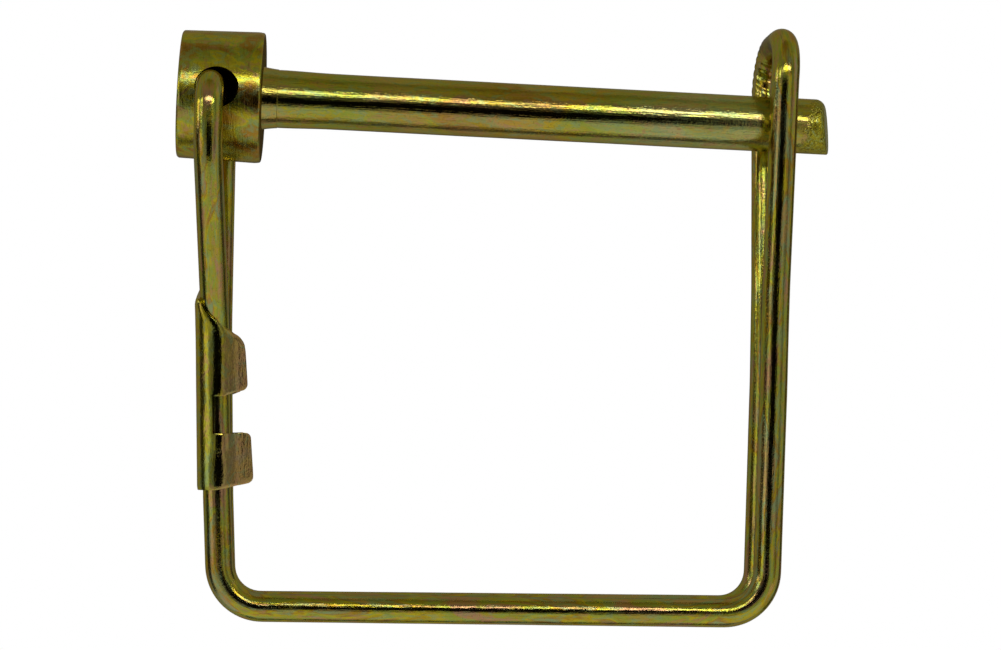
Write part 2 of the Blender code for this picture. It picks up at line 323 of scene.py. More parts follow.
def hole_rings(side):
    """Rings of one half of the cross hole, from the drill point's cone out past the head."""
    drill_r = CROSS_HOLE_D / 2
    mouth_r = HOLE_MOUTH_D / 2
    mouth_y = HEAD_R_SHOULDER - HOLE_MOUTH_DEPTH
    stations = [
        (HOLE_FLOOR_Y - HOLE_CONE_H, HOLE_POINT_R),
        (HOLE_FLOOR_Y + HOLE_CONE_H, drill_r),
        (mouth_y, drill_r),
        (HEAD_R_SHOULDER - HOLE_MOUTH_DEPTH * 0.5, drill_r + (mouth_r - drill_r) * 0.32),
        (HEAD_R_SHOULDER, mouth_r),
        (1.5 * HEAD_R_SHOULDER, mouth_r),
    ]
    return [
        [(CROSS_HOLE_X + radius * math.cos(a), side * depth, radius * math.sin(a)) for a in turns(HOLE_SIDES)]
        for depth, radius in stations
    ]


def drill(pin, material):
    """Cut both halves of the cross hole out of the head."""
    shape = bmesh.new()
    for side in (-1.0, 1.0):
        skin(shape, hole_rings(side))
    cutter = object_from("hole_cutter", shape, [material], None)
    cut = pin.modifiers.new("cross_hole", "BOOLEAN")
    cut.operation = "DIFFERENCE"
    cut.solver = "EXACT"
    cut.object = cutter
    bpy.context.view_layer.update()
    depsgraph = bpy.context.evaluated_depsgraph_get()
    drilled = bpy.data.meshes.new_from_object(pin.evaluated_get(depsgraph))
    pin.modifiers.clear()
    pin.data = drilled
    bpy.data.objects.remove(cutter)
    drilled.shade_smooth()
    drilled.set_sharp_from_angle(angle=math.radians(PIN_SHARP_DEG))


def finish_of(face):
    """Number of the finish that a face of the pin carries, in the order of make_pin's finishes."""
    centre, normal = face.center, face.normal
    across = math.hypot(centre.y, centre.z)
    from_hole = math.hypot(centre.x - CROSS_HOLE_X, centre.z)
    near_hole = from_hole < 0.48 * HOLE_MOUTH_D and across < 0.97 * HEAD_R_END
    if near_hole and abs(centre.y) < 0.92 * HEAD_R_END:
        return 4
    on_shoulder = centre.x < 0.5 * MM and across > 0.3 * SHANK_D
    on_end = centre.x < -0.9 * HEAD_L
    if abs(normal.x) > 0.92 and (on_shoulder or on_end):
        return 1
    if normal.x > 0.8 and centre.x > 0.9 * SHANK_L:
        return 2
    return 3 if centre.x < 0.1 * MM else 0


def make_pin(shank, turned, sheared, head, hole_wall_painted_shade):
    shape = bmesh.new()
    skin(shape, pin_rings())
    pin = object_from("pin_surface", shape, [shank, turned, sheared, head, hole_wall_painted_shade], None)
    drill(pin, shank)
    for face in pin.data.polygons:
        face.material_index = finish_of(face)
    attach(pin, "pin")
    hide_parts("pin")


# ---------------- bail wire


def leg_x(z):
    return LEG_X - LEG_LEAN * z


def skewed(point):
    """The point moved a little along the pin: the wire's two ends don't stand quite opposite."""
    fade = 0.0 if point.x > 0.0 else clamped((point.z - EYE_SKEW_END_Z) / EYE_SKEW_FADE)
    side = clamped(2 * point.y / HEAD_SPREAD, -1.0, 1.0)
    return Vector((point.x + EYE_SKEW / 2 * fade * side, point.y, point.z))


def strand(corner_bend, arch_bend):
    """Corners of the near strand and the bend radius at each, from the cross hole to the arch's top."""
    return [
        ((HINGE_X, -WIRE_END_GAP / 2, HINGE_Z), 0.0),
        ((HINGE_X, -HEAD_SPREAD, HINGE_Z), EYE_BEND_R),
        ((leg_x(EYE_FOOT_Z), -HEAD_SPREAD, EYE_FOOT_Z), EASE_BEND_R),
        ((leg_x(PARALLEL_Z), -PARALLEL_SPREAD, PARALLEL_Z), PARALLEL_BEND_R),
        ((leg_x(CLIP_END_Z), -PAIR_SPREAD, CLIP_END_Z), EASE_BEND_R),
        ((-2.55 * MM, -2.15 * MM, -72.1 * MM), corner_bend),
        ((74.38 * MM, -3.5 * MM, -70.27 * MM), corner_bend),
        ((74.25 * MM, -3.75 * MM, -38.0 * MM), ARCH_LEG_BEND_R),
        ((74.05 * MM, -4.1 * MM, -24.0 * MM), ARCH_LEG_BEND_R),
        ((73.62 * MM, -7.3 * MM, 5.6 * MM), ARCH_SHOULDER_BEND_R),
        ((73.85 * MM, -ARCH_SPREAD, ARCH_TOP_Z), arch_bend),
        ((73.85 * MM, 0.0, ARCH_TOP_Z), 0.0),
    ]


def rounded(corners, degrees_per_step=3.0):
    """Follow straight lines between the corners and turn each corner on an arc of its radius."""
    places = [Vector(place) for place, _ in corners]
    path = [places[0]]
    for i in range(1, len(places) - 1):
        back = (places[i - 1] - places[i]).normalized()
        ahead = (places[i + 1] - places[i]).normalized()
        turn = math.pi - back.angle(ahead)
        radius = corners[i][1]
        reach = radius * math.tan(turn / 2)
        middle = (back + ahead).normalized()
        centre = places[i] + middle * (radius / math.cos(turn / 2))
        first = places[i] + back * reach - centre
        last = places[i] + ahead * reach - centre
        steps = max(2, math.ceil(math.degrees(turn) / degrees_per_step))
        for part in between(0.0, 1.0, steps):
            near = math.sin((1 - part) * turn) / math.sin(turn)
            far = math.sin(part * turn) / math.sin(turn)
            path.append(centre + first * near + last * far)
    path.append(places[-1])
    return path


def evenly(path, step):
    """Points every step along a polyline, with both ends kept."""
    lengths = [0.0]
    for before, after in zip(path, path[1:]):
        lengths.append(lengths[-1] + (after - before).length)
    count = max(2, round(lengths[-1] / step))
    points = []
    k = 0
    for want in between(0.0, lengths[-1], count):
        while k < len(path) - 2 and lengths[k + 1] < want:
            k += 1
        part = (want - lengths[k]) / max(1e-12, lengths[k + 1] - lengths[k])
        points.append(path[k].lerp(path[k + 1], min(1.0, part)))
    return points


def bail_path():
    """The wire's middle line, from one end in the cross hole round the arch to the other end."""
    near = rounded(strand(CORNER_BEND_R, ARCH_BEND_R))
    far = rounded(strand(FAR_CORNER_BEND_R, FAR_ARCH_BEND_R))
    far = [Vector((point.x, -point.y, point.z)) for point in reversed(far[:-1])]
    path = evenly([skewed(point) for point in near[:-1] + far], WIRE_STEP)
    # Bent wire eases into its bends, so the path's curvature is softened a little.
    for _ in range(3):
        eased = [path[0]]
        for before, here, after in zip(path, path[1:], path[2:]):
            eased.append((before + here * 2.0 + after) / 4.0)
        path = eased + [path[-1]]
    return path


def die_mark(point):
    """Depth of the shallow cross marks that the bending tool leaves on the far shoulder of the arch."""
    if point.x < MARKS_FROM_X or point.y < MARKS_FROM_Y or not MARKS_LOW_Z <= point.z <= MARKS_HIGH_Z:
        return 0.0
    ridge = 0.5 + 0.5 * math.cos(point.dot(MARK_WAY) / MARK_PITCH * 2 * math.pi)
    fade = min(1.0, (point.z - MARKS_LOW_Z) / MARKS_FADE, (MARKS_HIGH_Z - point.z) / MARKS_FADE)
    return MARK_DEPTH * ridge ** 2 * fade


def wire_sections(path):
    """At each point of the path: the point, two directions square to the wire, and the length so far."""
    sections = []
    side = Vector((0.0, 0.0, 1.0))
    travelled = 0.0
    for i, point in enumerate(path):
        before = path[max(i - 1, 0)]
        after = path[min(i + 1, len(path) - 1)]
        way = (after - before).normalized()
        side = (side - way * side.dot(way)).normalized()
        travelled += (point - before).length
        sections.append((point, side, way.cross(side), travelled))
    return sections


def make_wire(film, sheared):
    sections = wire_sections(bail_path())
    stations = [(sections[0], part) for part in WIRE_END_PARTS]
    stations += [(section, 1.0) for section in sections]
    stations += [(sections[-1], part) for part in reversed(WIRE_END_PARTS)]
    shape = bmesh.new()
    along = shape.verts.layers.float_vector.new("along")
    rows = []
    for (point, side, other, travelled), part in stations:
        row = []
        for angle in turns(WIRE_SIDES):
            over, round_it = math.cos(angle), math.sin(angle)
            outward = side * over + other * round_it
            wave = noise.noise(Vector((travelled * 110.0, over * 0.8, round_it * 0.8)))
            radius = WIRE_R * part - WIRE_INSET + WIRE_WAVE * wave - die_mark(point + outward * WIRE_R)
            vert = shape.verts.new(point + outward * radius)
            # The film's coordinates run round and along the wire, in millimetres.
            vert[along] = Vector((over * WIRE_R / MM, round_it * WIRE_R / MM, travelled / MM))
            row.append(vert)
        rows.append(row)
    for face in sew(shape, rows):
        face.material_index = 1
    wire = object_from("bail_wire_surface", shape, [film, sheared], "bail", "bail_wire")
    wire.data.set_sharp_from_angle(angle=math.radians(WIRE_SHARP_DEG))


# ---------------- keeper clip


def strand_table():
    """The head-side strand as (upper point, lower point, lean) pieces, from the top down."""
    near = rounded(strand(CORNER_BEND_R, ARCH_BEND_R), 2.0)
    table = []
    for above, below in zip(near, near[1:]):
        if above.x < 0 and above.z > below.z:
            table.append((above, below, (above - below).length / (above.z - below.z)))
    return table


STRANDS = strand_table()


def strand_at(z):
    """Half the distance between the head-side strands at height z, and how much they lean there."""
    for above, below, lean in STRANDS:
        if above.z >= z >= below.z:
            part = (above.z - z) / (above.z - below.z)
            return -(above.y + (below.y - above.y) * part), lean
    return PAIR_SPREAD, 1.0


def lip_reach(side, z):
    """How far the lips stand out from the strands' plane at height z."""
    reach = LIP_REACH + LIP_REACH_SLOPE * (LIP_REACH_Z - z)
    return reach - FAR_LIP_SHORTER if side == "far" else reach


def clip_steps():
    """(side, kind, value) stations along the bent strip, from the near lips' ends to the far ones'.

    A lip's value runs from 1 at its end to 0 at the crease, a crease's from 0 at the lip to 1 at the
    flank, a flank's from 1 at the crease to 0 at the wrap; a wrap's value is its angle in degrees.
    """
    lips = [1.0, 0.985, 0.96, 0.92, 0.86, 0.78, 0.68, 0.58, 0.48, 0.38]
    creases = [0.0, 0.2, 0.4, 0.6, 0.8, 1.0]
    flanks = [0.5, 0.33, 0.16]
    angles = [30.0, 26.0, 21.0, 15.5, 10.0, 4.5, -1.5, NOTCH_DEG, -16.0, -24.0, -32.0, -40.0, -48.0]
    angles += [-56.0, -64.5, -73.0, -81.5, -90.0]
    flange = [("lip", value) for value in lips] + [("crease", value) for value in creases]
    flange += [("flank", value) for value in flanks] + [("wrap", value) for value in angles]
    steps = [("near", kind, value) for kind, value in flange]
    steps += [("near", "web", value) for value in (0.1, 0.2, 0.3, 0.4)]
    steps += [("far", "web", value) for value in (0.5, 0.4, 0.3, 0.2, 0.1)]
    steps += [("far", kind, value) for kind, value in reversed(flange)]
    return steps


# Local changes of the wrap's radius: (height off the strands, middle z, half height, middle angle,
# half width in degrees). The sheet springs away by the notch and is pinched below it.
DENTS = (
    (0.16 * MM, -48.9 * MM, 1.5 * MM, 14.0, 26.0),
    (0.10 * MM, -43.0 * MM, 1.7 * MM, -12.0, 18.0),
    (-0.07 * MM, -52.6 * MM, 1.9 * MM, 2.0, 22.0),
    (-0.08 * MM, -46.4 * MM, 1.8 * MM, -22.0, 20.0),
)


def hump(value, middle, width):
    return math.exp(-(((value - middle) / width) ** 2))


def dent(angle_deg, z):
    swell = 0.0
    for height, middle_z, half_z, middle_deg, half_deg in DENTS:
        swell += height * hump(z, middle_z, half_z) * hump(angle_deg, middle_deg, half_deg)
    return swell


def partway(first, last, part):
    return first[0] + (last[0] - first[0]) * part, first[1] + (last[1] - first[1]) * part


def flange_place(step, z):
    """(across, depth) on the straight flank, on the lip that leans in from it, or on the fillet between."""
    side, kind, value = step
    spread, lean = strand_at(z)
    start = math.radians(FLANK_START_DEG)
    flank = (WRAP_R * math.sin(start), spread + WRAP_R * lean * math.cos(start))
    crease = (CREASE_X, flank[1] - (CREASE_X - flank[0]) * math.tan(start))
    reach = lip_reach(side, z)
    end = (reach, crease[1] - (reach - CREASE_X) * math.tan(math.radians(LIP_TOE_IN_DEG)))
    if kind == "flank":
        return partway(flank, crease, value)
    if kind == "lip":
        return partway(crease, end, value)
    first = partway(crease, end, CREASE_LIP_PART)
    last = partway(flank, crease, CREASE_FLANK_PART)
    return partway(partway(first, crease, value), partway(crease, last, value), value)


def strip_middle(step, z):
    """(across, depth) of the sheet's middle at one station and height."""
    side, kind, value = step
    spread, lean = strand_at(z)
    if kind == "web":
        across, depth = -WRAP_R, spread * (1.0 - 2.0 * value)
    elif kind == "wrap":
        angle = math.radians(value)
        swollen = WRAP_R + dent(value, z)
        across, depth = swollen * math.sin(angle), spread + swollen * lean * math.cos(angle)
    else:
        across, depth = flange_place(step, z)
    return across, (-depth if side == "near" else depth)


def lip_share(kind, value):
    """Share of the lip passed at a station, 0 at the crease and 1 at its end."""
    if kind == "lip":
        return value
    return CREASE_LIP_PART * (1.0 - value) if kind == "crease" else 0.0


def flank_share(kind, value):
    """Share of the flank passed at a station, 0 at the wrap and 1 at the crease."""
    if kind in ("lip", "web"):
        return 1.0
    if kind == "crease":
        return 1.0 - (1.0 - CREASE_FLANK_PART) * value ** 2
    return value if kind == "flank" else 0.0


def corner_drop(step, corner_z):
    """How far a lip's rounded corner at height corner_z pulls the lip's edge back at one station."""
    side, kind, value = step
    inside = LIP_CORNER_R - (lip_reach(side, corner_z) - CREASE_X) * (1.0 - value)
    if kind != "lip" or inside < 0.0:
        return 0.0
    return LIP_CORNER_R - math.sqrt(max(0.0, LIP_CORNER_R ** 2 - inside ** 2))


# The slanted upper edge round each strand, as (wrap angle, z in millimetres) knots.
NEAR_TOP = ((-90.0, -28.9), (-62.0, -29.1), (-44.0, -29.95), (-27.0, -31.15), (0.0, -32.0), (30.0, -32.9))
FAR_TOP = ((-90.0, -26.9), (-60.0, -28.2), (-20.0, -31.4), (30.0, -33.9))
TOP_EASE_DEG = 7.0


def between_knots(value, knots):
    for (low, low_z), (high, high_z) in zip(knots, knots[1:]):
        if value <= high:
            return (low_z + (high_z - low_z) * max(0.0, value - low) / (high - low)) * MM
    return knots[-1][1] * MM


def top_edge(step):
    side, kind, value = step
    knots = NEAR_TOP if side == "near" else FAR_TOP
    if kind == "web":
        near_z, far_z = NEAR_TOP[0][1], FAR_TOP[0][1]
        return (near_z + (far_z - near_z) * (value if side == "near" else 1.0 - value)) * MM
    if kind == "wrap":
        return sum(between_knots(value + ease, knots) for ease in (-TOP_EASE_DEG, 0.0, TOP_EASE_DEG)) / 3.0
    fall = 0.95 * flank_share(kind, value) + 1.1 * lip_share(kind, value)
    return (knots[-1][1] - fall) * MM - corner_drop(step, -35.0 * MM)


def bottom_edge(step):
    kind, value = step[1:]
    if kind == "web":
        return CLIP_BOTTOM_Z
    if kind == "wrap":
        return CLIP_BOTTOM_Z + BOTTOM_RISE * max(0.0, value) / FLANK_START_DEG
    rise = BOTTOM_RISE * (1.0 + flank_share(kind, value)) + 0.45 * MM * lip_share(kind, value)
    return CLIP_BOTTOM_Z + rise + corner_drop(step, -55.0 * MM)


def notch_top(step):
    kind, value = step[1:]
    if kind in ("wrap", "web"):
        return NOTCH_TOP_Z
    lift = 0.05 + 0.5 * flank_share(kind, value) + 0.3 * lip_share(kind, value)
    return NOTCH_TOP_Z + lift * MM + corner_drop(step, -42.0 * MM)


def notch_bottom(step):
    lift = 0.1 * lip_share(*step[1:])
    return NOTCH_BOTTOM_Z + lift * MM - corner_drop(step, -48.0 * MM)


LOWER_ROWS = 18
NOTCH_ROWS = 10
UPPER_ROWS = 24


def eased_rows(low, high, count):
    """Heights from low to high, closer together at both ends where the cut edges are rolled over."""
    return [low + (high - low) * (0.5 - 0.5 * math.cos(turn)) for turn in between(0.0, math.pi, count)]


def clip_rows(step):
    """Heights of the sheet's stations from the lower edge, past the notch, to the upper edge."""
    marks = [bottom_edge(step), notch_bottom(step), notch_top(step), top_edge(step)]
    lower = eased_rows(marks[0], marks[1], LOWER_ROWS)
    notch = between(marks[1], marks[2], NOTCH_ROWS)[1:]
    upper = eased_rows(marks[2], marks[3], UPPER_ROWS)[1:]
    return lower + notch + upper


def beside_notch(step):
    kind, value = step[1:]
    return kind in ("lip", "crease", "flank") or (kind == "wrap" and value > NOTCH_DEG)


def in_notch(step, row):
    return beside_notch(step) and LOWER_ROWS <= row < LOWER_ROWS + NOTCH_ROWS


def drag(gap, margin, depth):
    """Inward pull of the shears: full at the cut edge, and gone where the gap to it is the margin."""
    return depth * max(0.0, 1.0 - max(0.0, gap) / margin) ** 2


def rollover(step, z):
    """How far the sheet is dragged inwards next to its sheared edges."""
    pulls = [
        drag(top_edge(step) - z, 1.1 * MM, 0.26 * MM),
        drag(z - bottom_edge(step), 0.7 * MM, 0.09 * MM),
    ]
    if beside_notch(step):
        pulls.append(drag(abs(z - notch_bottom(step)), 0.35 * MM, 0.03 * MM))
        pulls.append(drag(abs(z - notch_top(step)), 0.6 * MM, 0.08 * MM))
    return max(pulls)


def sheet_point(steps, index, z, offset):
    """A point on the sheet at one station and height, offset from the sheet's middle."""
    here = strip_middle(steps[index], z)
    before = strip_middle(steps[max(index - 1, 0)], z)
    after = strip_middle(steps[min(index + 1, len(steps) - 1)], z)
    along = Vector((after[0] - before[0], after[1] - before[1])).normalized()
    across = here[0] - along.y * offset
    depth = here[1] + along.x * offset
    return Vector((leg_x(z) + across, depth, z + LEG_LEAN * across))


def waved(point):
    """The point moved a little: hand-bent sheet is never quite flat."""
    across = SHEET_WAVE_X * noise.noise(point * 420.0)
    depth = SHEET_WAVE_Y * noise.noise(point * 330.0)
    return point + Vector((across, depth, 0.0))


def sheet_grid(shape, steps, offset):
    """Vertices of one face of the sheet: a column of heights at every station."""
    grid = []
    for index, step in enumerate(steps):
        column = []
        for z in clip_rows(step):
            point = sheet_point(steps, index, z, offset - rollover(step, z))
            column.append(shape.verts.new(waved(point)))
        grid.append(column)
    return grid


def sew_sheet(shape, steps, inner, outer):
    """Faces of both sides of the sheet, with the notch left open, and of its thickness all round."""
    used = set()
    for i in range(len(steps) - 1):
        for j in range(len(inner[0]) - 1):
            if in_notch(steps[i], j) or in_notch(steps[i + 1], j):
                continue
            ring = [(i, j), (i + 1, j), (i + 1, j + 1), (i, j + 1)]
            shape.faces.new([outer[a][b] for a, b in ring])
            shape.faces.new([inner[a][b] for a, b in reversed(ring)])
            used.update(zip(ring, ring[1:] + ring[:1]))
    for (a, b), (c, d) in sorted(used):
        if ((c, d), (a, b)) not in used:
            shape.faces.new([outer[c][d], outer[a][b], inner[a][b], inner[c][d]])


def make_clip(film):
    steps = clip_steps()
    shape = bmesh.new()
    inner = sheet_grid(shape, steps, -SHEET_T / 2)
    outer = sheet_grid(shape, steps, SHEET_T / 2)
    sew_sheet(shape, steps, inner, outer)
    loose = [vert for vert in shape.verts if not vert.link_faces]
    bmesh.ops.delete(shape, geom=loose, context="VERTS")
    clip = object_from("keeper_clip_surface", shape, [film], "bail", "keeper_clip")
    bevel = clip.modifiers.new("worn_edges", "BEVEL")
    bevel.width = WORN_EDGE
    bevel.segments = 4
    bevel.limit_method = "ANGLE"
    bevel.angle_limit = math.radians(50.0)


# ---------------- materials


class Tree:
    """Small helper that adds shader nodes and returns their output sockets."""

    def __init__(self, tree):
        self.tree = tree

    def put(self, socket, value):
        if isinstance(value, bpy.types.NodeSocket):
            self.tree.links.new(value, socket)
        else:
            socket.default_value = value

    def add(self, kind, inputs, output=0, **settings):
        """Add a node with its settings and inputs, and return one of its outputs."""
        made = self.tree.nodes.new(kind)
        for key, value in settings.items():
            setattr(made, key, value)
        for key, value in inputs.items():
            self.put(made.inputs[key], value)
        return made.outputs[output]

    def math(self, operation, first, second=0.0):
        return self.add("ShaderNodeMath", {0: first, 1: second}, operation=operation)

    def parts(self, vector):
        return self.add("ShaderNodeSeparateXYZ", {0: vector}).node.outputs

    def scaled(self, vector, scale, shift=(0.0, 0.0, 0.0), turn=(0.0, 0.0, 0.0)):
        inputs = {"Vector": vector, "Scale": scale, "Location": shift, "Rotation": turn}
        return self.add("ShaderNodeMapping", inputs)

    def noise(self, vector, scale=1.0, detail=3.0, rough=0.55, warp=0.0):
        inputs = {"Vector": vector, "Scale": scale, "Detail": detail, "Roughness": rough, "Distortion": warp}
        return self.add("ShaderNodeTexNoise", inputs, "Fac")

    def ramp(self, value, stops):
        out = self.add("ShaderNodeValToRGB", {0: value})
        items = out.node.color_ramp.elements
        while len(items) < len(stops):
            items.new(0.5)
        for item, (place, colour) in zip(items, stops):
            item.position = place
            item.color = (*colour, 1.0)
        return out

    def scale_ramp(self, value, low, high, stops):
        """A ramp whose stops are given on the value's own scale, from low to high."""
        share = self.span(value, low, high, smooth=False)
        return self.ramp(share, [((place - low) / (high - low), colour) for place, colour in stops])

    def span(self, value, low, high, out_low=0.0, out_high=1.0, smooth=True):
        inputs = {0: value, 1: low, 2: high, 3: out_low, 4: out_high}
        return self.add("ShaderNodeMapRange", inputs, interpolation_type="SMOOTHSTEP" if smooth else "LINEAR")

    def window(self, across, up, left, right, bottom, top):
        """1 inside a soft rectangle, 0 outside; each side is (where its fade starts, where it ends)."""
        inside = self.math("MULTIPLY", self.span(across, *left), self.span(across, *right, 1.0, 0.0))
        inside = self.math("MULTIPLY", inside, self.span(up, *bottom))
        return self.math("MULTIPLY", inside, self.span(up, *top, 1.0, 0.0))

    def mix(self, factor, first, second):
        first, second = (
            value if isinstance(value, bpy.types.NodeSocket) else (*value, 1.0) for value in (first, second)
        )
        return self.add("ShaderNodeMix", {0: factor, 6: first, 7: second}, 2, data_type="RGBA")

    def bumped(self, height, distance, normal=None):
        inputs = {"Strength": 1.0, "Distance": distance, "Height": height}
        if normal is not None:
            inputs["Normal"] = normal
        return self.add("ShaderNodeBump", inputs)

    def glow(self, colour):
        return self.add("ShaderNodeEmission", {"Color": colour})

    def finish(self, surface):
        self.put(self.tree.nodes.new("ShaderNodeOutputMaterial").inputs["Surface"], surface)


def new_material(name):
    material = bpy.data.materials.new(name)
    material.use_nodes = True
    shader = material.node_tree.nodes["Principled BSDF"]
    return material, Tree(material.node_tree), shader


def new_metal(name):
    material, tree, shader = new_material(name)
    shader.inputs["Metallic"].default_value = 1.0
    return material, tree, shader


OLIVE = (0.50, 0.42, 0.018)
YELLOW = (0.66, 0.54, 0.006)
GOLD = (0.68, 0.43, 0.008)
TAN = (0.60, 0.39, 0.11)
ROSE = (0.58, 0.31, 0.14)
BRONZE = (0.47, 0.25, 0.012)
GREEN = (0.40, 0.47, 0.055)
TEAL = (0.34, 0.46, 0.20)
PALE = (0.55, 0.56, 0.21)
SOOT = (0.10, 0.07, 0.010)
GRIME = (0.08, 0.06, 0.02)
# Painted shade inside the cross hole: the darker and the lighter blots of its wall.
HOLE_PAINTED_SHADE_DARK = (0.05, 0.035, 0.012)
HOLE_PAINTED_SHADE_LIGHTER = (0.20, 0.15, 0.04)
# Seen almost along the surface, the film swallows more blue than bare metal would.
EDGE_TINT = (0.74, 0.60, 0.30, 1.0)
DULL_EDGE_TINT = (0.12, 0.09, 0.05, 1.0)

# Bump heights in metres.
WAVE_BUMP = 0.000020
GRAIN_BUMP = 0.000009
DRAG_BUMP = 0.00019
LATHE_BUMP = 0.000012
TEAR_BUMP = 0.00011
DRILL_BUMP = 0.00002

# The blade dragged the shank's last few millimetres: where that starts, and where it is full.
DRAG_START = SHANK_L / MM - 3.82
DRAG_FULL = SHANK_L / MM - 2.52


def place_of(tree, source):
    """Coordinates in millimetres: the row frame, or round and along the wire."""
    if source == "wire":
        return tree.add("ShaderNodeAttribute", {}, "Vector", attribute_name="along")
    return tree.scaled(tree.add("ShaderNodeTexCoord", {}, "Object"), (1000.0, 1000.0, 1000.0))


def drifting(tree, place, clouds, film, drift):
    """The film with a slow change of colour along the piece, from where it hung in the dye bath."""
    axis, low, high, stops = drift
    wander = tree.math("MULTIPLY", tree.math("SUBTRACT", clouds, 0.5), 0.45 * (high - low))
    way = tree.span(tree.math("ADD", tree.parts(place)[axis], wander), low, high, smooth=False)
    return tree.mix(0.7, film, tree.ramp(way, stops))


def dragged_end(tree, place, film, rough, normal):
    """Film, roughness and normal of the shank, torn where the cropping blade dragged its end."""
    parts = tree.parts(place)
    tears, blots = tear_pattern(tree, place)
    reach = tree.math("ADD", parts[0], tree.math("MULTIPLY", parts[2], -0.25))
    reach = tree.math("ADD", reach, tree.math("MULTIPLY", tree.math("SUBTRACT", blots, 0.5), 3.0))
    dragged = tree.span(reach, DRAG_START, DRAG_FULL)
    film = tree.mix(dragged, film, torn_film(tree, tears, blots))
    rough = tree.math("ADD", rough, tree.math("MULTIPLY", dragged, 0.14))
    normal = tree.bumped(tree.math("MULTIPLY", tears, dragged), DRAG_BUMP, normal)
    return film, rough, normal


def plating(
    name, source, streak, patch, shift, film_stops, drift=None, gloss=(0.08, 0.19), mottle=0.4, torn=False,
):
    """Yellow chromate over zinc: drifting film colours, drawing scratches, pits and handling wear.

    streak scales the coordinates so that noise runs long along the drawing or rolling direction,
    and patch does the same for the film's colour clouds, which shift moves. drift is (axis, low,
    high, stops) of the slow change along the piece. gloss is the least and most roughness, mottle
    the strength of the small green and gold spots, and torn says that the end was cropped.
    """
    material, tree, shader = new_metal(name)
    place = place_of(tree, source)
    fine_patch = tuple(3.4 * value for value in patch)
    long_streak = tuple(0.5 * value for value in streak)
    clouds = tree.noise(tree.scaled(place, patch, shift), 1.0, 3.0, 0.55, 0.8)
    small = tree.noise(tree.scaled(place, fine_patch, shift), 1.0, 4.0, 0.62, 1.2)
    marble = tree.noise(tree.scaled(place, (1.1, 1.1, 1.1), shift), 1.0, 4.0, 0.6, 1.5)
    streaks = tree.noise(tree.scaled(place, streak), 1.0, 4.0, 0.7)
    waves = tree.noise(tree.scaled(place, long_streak), 1.0, 2.0, 0.5)
    specks = tree.noise(place, 3.6, 4.0, 0.75)
    grain = tree.noise(place, 2.8, 3.0, 0.6, 0.3)

    film = tree.ramp(clouds, film_stops)
    if drift:
        film = drifting(tree, place, clouds, film, drift)
    film = tree.mix(tree.span(small, 0.51, 0.62, 0.0, 0.6), film, TEAL)
    film = tree.mix(tree.span(small, 0.47, 0.36, 0.0, 0.6), film, ROSE)
    film = tree.mix(tree.span(marble, 0.52, 0.62, 0.0, mottle), film, GREEN)
    film = tree.mix(tree.span(marble, 0.46, 0.38, 0.0, 0.8 * mottle), film, GOLD)
    film = tree.mix(tree.span(streaks, 0.46, 0.30, 0.0, 0.45), film, SOOT)
    film = tree.mix(tree.span(specks, 0.57, 0.70, 0.0, 0.6), film, SOOT)
    haze = tree.math("ADD", tree.math("MULTIPLY", small, 0.6), tree.math("MULTIPLY", streaks, 0.4))
    rough = tree.span(haze, 0.35, 0.68, *gloss)
    scratches = tree.math("ADD", streaks, tree.math("MULTIPLY", grain, 2.2))
    normal = tree.bumped(scratches, GRAIN_BUMP, tree.bumped(waves, WAVE_BUMP))
    if torn:
        film, rough, normal = dragged_end(tree, place, film, rough, normal)

    tree.put(shader.inputs["Base Color"], film)
    shader.inputs["Specular Tint"].default_value = EDGE_TINT
    # The clear outer skin of the film gives the brightest glints their whiter middle.
    shader.inputs["Coat Weight"].default_value = 0.4
    shader.inputs["Coat IOR"].default_value = 1.5
    tree.put(shader.inputs["Coat Roughness"], rough)
    tree.put(shader.inputs["Coat Normal"], normal)
    tree.put(shader.inputs["Roughness"], rough)
    tree.put(shader.inputs["Normal"], normal)
    return material


def tear_pattern(tree, place):
    """Diagonal ridges left by the blade, and blots between them."""
    turn = (math.radians(38.0), math.radians(-40.0), 0.0)
    tears = tree.noise(tree.scaled(place, (2.6, 3.4, 0.55), turn=turn), 1.0, 4.0, 0.65, 0.4)
    blots = tree.noise(place, 1.1, 4.0, 0.6, 0.8)
    return tears, blots


def torn_film(tree, tears, blots):
    film = tree.ramp(tears, [(0.38, SOOT), (0.47, OLIVE), (0.55, GREEN), (0.63, PALE)])
    return tree.mix(tree.span(blots, 0.45, 0.62, 0.0, 0.6), film, YELLOW)


def turned_face(name):
    """Lathe-faced end: fine rings round the pin's axis under the same yellow film."""
    material, tree, shader = new_metal(name)
    place = place_of(tree, "row")
    parts = tree.parts(place)
    squares = [tree.math("MULTIPLY", part, part) for part in parts[1:3]]
    radius = tree.math("SQRT", tree.math("ADD", *squares))
    groove = tree.math("SINE", tree.math("MULTIPLY", radius, 34.0))
    clouds = tree.noise(place, 0.45, 3.0, 0.6, 0.8)
    specks = tree.noise(place, 3.0, 4.0, 0.7)
    film = tree.ramp(clouds, [(0.32, BRONZE), (0.45, OLIVE), (0.56, TAN), (0.68, GREEN)])
    film = tree.mix(tree.span(specks, 0.54, 0.7, 0.0, 0.6), film, GRIME)
    tree.put(shader.inputs["Base Color"], film)
    shader.inputs["Specular Tint"].default_value = DULL_EDGE_TINT
    tree.put(shader.inputs["Roughness"], tree.span(specks, 0.3, 0.7, 0.24, 0.42))
    height = tree.math("ADD", tree.math("MULTIPLY", groove, 0.5), specks)
    tree.put(shader.inputs["Normal"], tree.bumped(height, LATHE_BUMP))
    return material


